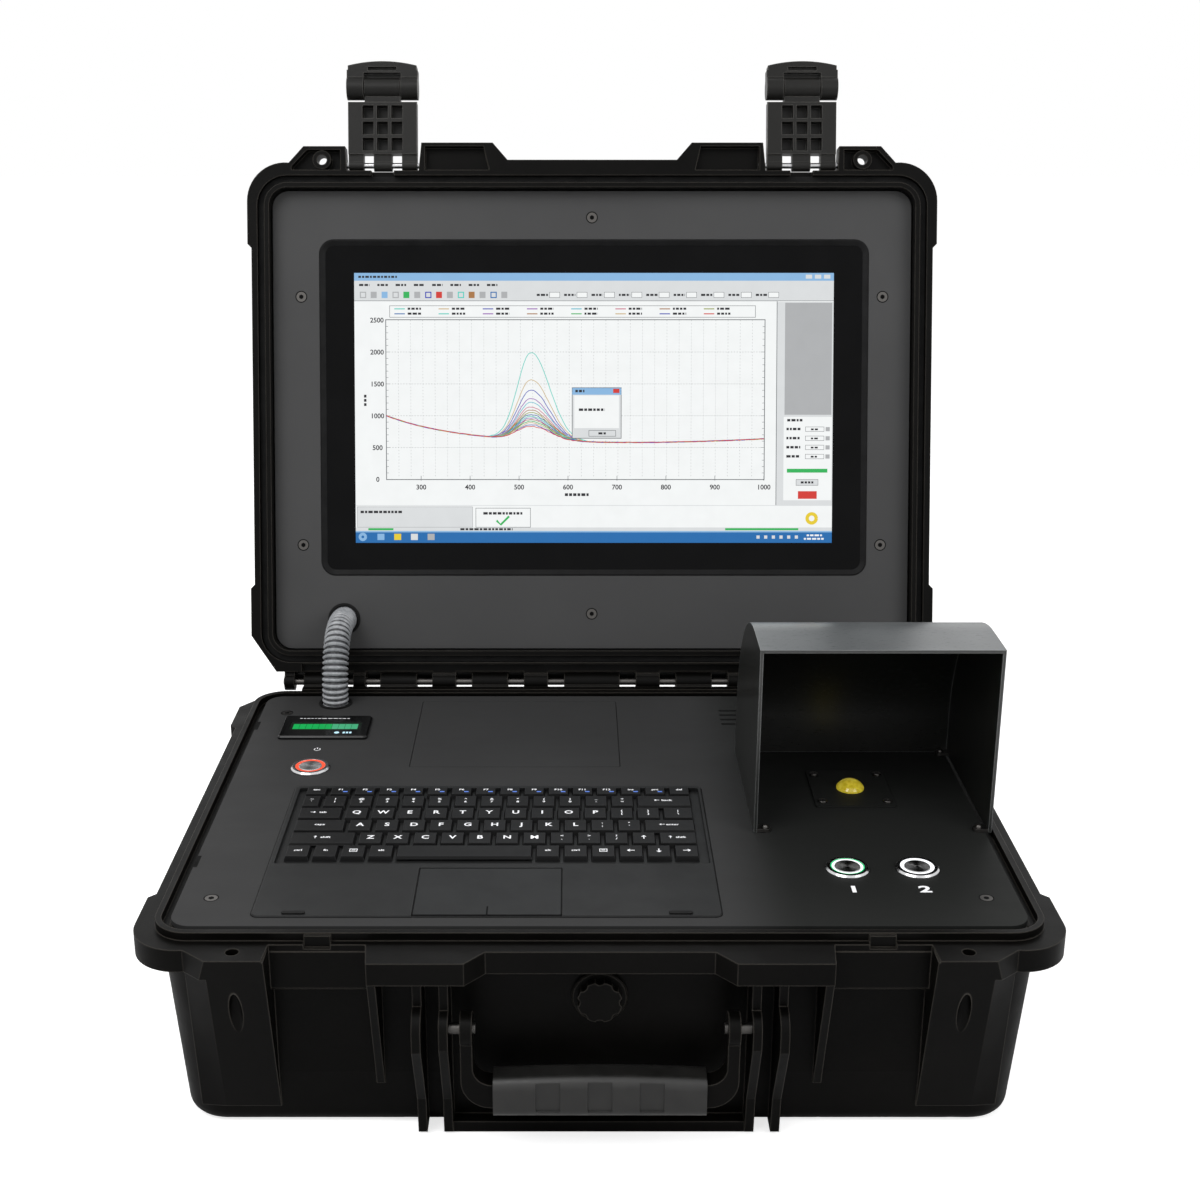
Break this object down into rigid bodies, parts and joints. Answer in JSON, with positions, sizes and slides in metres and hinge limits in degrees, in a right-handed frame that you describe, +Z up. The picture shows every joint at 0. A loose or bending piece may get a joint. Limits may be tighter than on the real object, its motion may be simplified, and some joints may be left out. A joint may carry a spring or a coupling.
{
  "type": "fiber optic spectrometer",
  "caption": "Portable fiber optic spectrometer in a rugged case: screen in the hinged lid, keyboard, lit push buttons and a hooded sample spot on the base panel.",
  "frame": {"origin": "centre of the flat bottom of the base, below the middle of the base panel", "axes": "+X to the right seen from the handle side, +Y to the hinge at the back, +Z up; the handle faces -Y"},
  "size_m": [0.498, 0.5191, 0.5502],
  "materials": {
    "case_plastic": "satin moulded",
    "rubber": "matte",
    "panel_coat": "satin powder coat",
    "lid_coat": "matte powder coat",
    "hood_coat": "satin",
    "dark_steel": "blackened",
    "steel": "turned",
    "bezel_steel": "polished",
    "cap_steel": "brushed",
    "ring_red": "lit",
    "ring_white": "lit",
    "keyboard_plastic": "fine texture",
    "key_plastic": "satin",
    "gauge_black": "gloss",
    "gauge_green": "lit",
    "amber": "clear amber",
    "screen_glass": "gloss",
    "bezel_black": "matte",
    "module_metal": "anodised",
    "battery_blue": "shrink sleeve",
    "board_green": "solder mask",
    "fan_black": "moulded",
    "fibre_jacket": "jacket",
    "hose_grey": "corrugated"
  },
  "bodies": {
    "base": {"base_shell": "case_plastic", "valve_body": "case_plastic", "keyboard_feet": "rubber", "hose_grommet_base": "rubber", "base_panel": "panel_coat", "service_cover": "panel_coat", "sample_plate": "panel_coat", "base_panel_screws": "dark_steel", "sample_plate_screws": "dark_steel", "hinge_pin": "steel", "handle_pins": "steel", "sample_probe": "steel", "button_nuts": "steel", "power_button_body": "bezel_steel", "uv_button_body": "bezel_steel", "vis_button_body": "bezel_steel", "power_light_ring": "ring_red", "uv_light_ring": "ring_white", "vis_light_ring": "ring_white", "keyboard_tray": "keyboard_plastic", "keyboard_plate": "keyboard_plastic", "key_caps": "key_plastic", "gauge_housing": "gauge_black", "gauge_lens": "gauge_green", "sample_dome": "amber", "spectrometer_module": "module_metal", "uv_lamp_module": "module_metal", "vis_lamp_module": "module_metal", "battery_pack": "battery_blue", "mainboard": "board_green", "cooling_fan": "fan_black", "optical_fibres": "fibre_jacket", "hose": "hose_grey"},
    "lid": {"lid_shell": "case_plastic", "lid_gasket": "rubber", "lid_panel": "lid_coat", "lid_panel_screws": "dark_steel", "display_bezel": "bezel_black", "display_glass": "screen_glass", "display_module": "module_metal", "hose_grommet_lid": "rubber", "latch_pins": "steel"},
    "latch_arm_left": {"latch_arm_left": "case_plastic"},
    "latch_arm_right": {"latch_arm_right": "case_plastic"},
    "latch_lever_left": {"latch_lever_left": "case_plastic"},
    "latch_lever_right": {"latch_lever_right": "case_plastic"},
    "handle": {"handle_frame": "case_plastic", "handle_grip": "rubber"},
    "hood": {"sample_hood": "hood_coat", "hood_studs": "steel"},
    "valve_knob": {"valve_knob": "case_plastic"},
    "power_cap": {"power_button_cap": "cap_steel"},
    "uv_cap": {"uv_button_cap": "cap_steel"},
    "vis_cap": {"vis_button_cap": "cap_steel"},
    "key_backspace": {"key_backspace": "key_plastic"},
    "key_enter": {"key_enter": "key_plastic"},
    "key_shift_left": {"key_shift_left": "key_plastic"},
    "key_space": {"key_space": "key_plastic"},
    "touchpad": {"touchpad": "keyboard_plastic"}
  },
  "joints": [
    {"name": "lid_hinge", "type": "hinge", "parent": "base", "child": "lid", "pos_m": [0, 0.1877, 0.124], "axis": [-1, 0, 0], "range_deg": [-52, 0], "deforming": ["hose"]},
    {"name": "latch_left", "type": "hinge", "parent": "lid", "child": "latch_arm_left", "pos_m": [-0.1485, 0.28609, 0.47933], "axis": [1, 0, 0], "range_deg": [0, 95]},
    {"name": "latch_lever_left", "type": "hinge", "parent": "latch_arm_left", "child": "latch_lever_left", "pos_m": [-0.1485, 0.30043, 0.53139], "axis": [1, 0, 0], "range_deg": [0, 70]},
    {"name": "latch_right", "type": "hinge", "parent": "lid", "child": "latch_arm_right", "pos_m": [0.1485, 0.28609, 0.47933], "axis": [1, 0, 0], "range_deg": [0, 95]},
    {"name": "latch_lever_right", "type": "hinge", "parent": "latch_arm_right", "child": "latch_lever_right", "pos_m": [0.1485, 0.30043, 0.53139], "axis": [1, 0, 0], "range_deg": [0, 70]},
    {"name": "handle_swing", "type": "hinge", "parent": "base", "child": "handle", "pos_m": [0, -0.188, 0.075], "axis": [-1, 0, 0], "range_deg": [0, 95]},
    {"name": "hood_lift", "type": "slide", "parent": "base", "child": "hood", "axis": [0, 0, 1], "range_m": [0, 0.12]},
    {"name": "valve_turn", "type": "hinge", "parent": "base", "child": "valve_knob", "pos_m": [0, -0.175, 0.083], "axis": [0, -1, 0], "range_deg": [0, 180]},
    {"name": "power_press", "type": "slide", "parent": "base", "child": "power_cap", "axis": [0, 0, -1], "range_m": [0, 0.0015], "stiffness_N_per_m": 300, "springref_m": -0.003},
    {"name": "uv_press", "type": "slide", "parent": "base", "child": "uv_cap", "axis": [0, 0, -1], "range_m": [0, 0.0015], "stiffness_N_per_m": 300, "springref_m": -0.003},
    {"name": "vis_press", "type": "slide", "parent": "base", "child": "vis_cap", "axis": [0, 0, -1], "range_m": [0, 0.0015], "stiffness_N_per_m": 300, "springref_m": -0.003},
    {"name": "key_backspace_press", "type": "slide", "parent": "base", "child": "key_backspace", "axis": [0, 0, -1], "range_m": [0, 0.0012], "stiffness_N_per_m": 200, "springref_m": -0.003},
    {"name": "key_enter_press", "type": "slide", "parent": "base", "child": "key_enter", "axis": [0, 0, -1], "range_m": [0, 0.0012], "stiffness_N_per_m": 200, "springref_m": -0.003},
    {"name": "key_shift_left_press", "type": "slide", "parent": "base", "child": "key_shift_left", "axis": [0, 0, -1], "range_m": [0, 0.0012], "stiffness_N_per_m": 200, "springref_m": -0.003},
    {"name": "key_space_press", "type": "slide", "parent": "base", "child": "key_space", "axis": [0, 0, -1], "range_m": [0, 0.0012], "stiffness_N_per_m": 200, "springref_m": -0.003},
    {"name": "touchpad_click", "type": "hinge", "parent": "base", "child": "touchpad", "pos_m": [-0.0604, -0.0997, 0.122], "axis": [1, 0, 0], "range_deg": [0, 0.6], "stiffness_Nm_per_rad": 4, "springref_deg": -1.72}
  ]
}
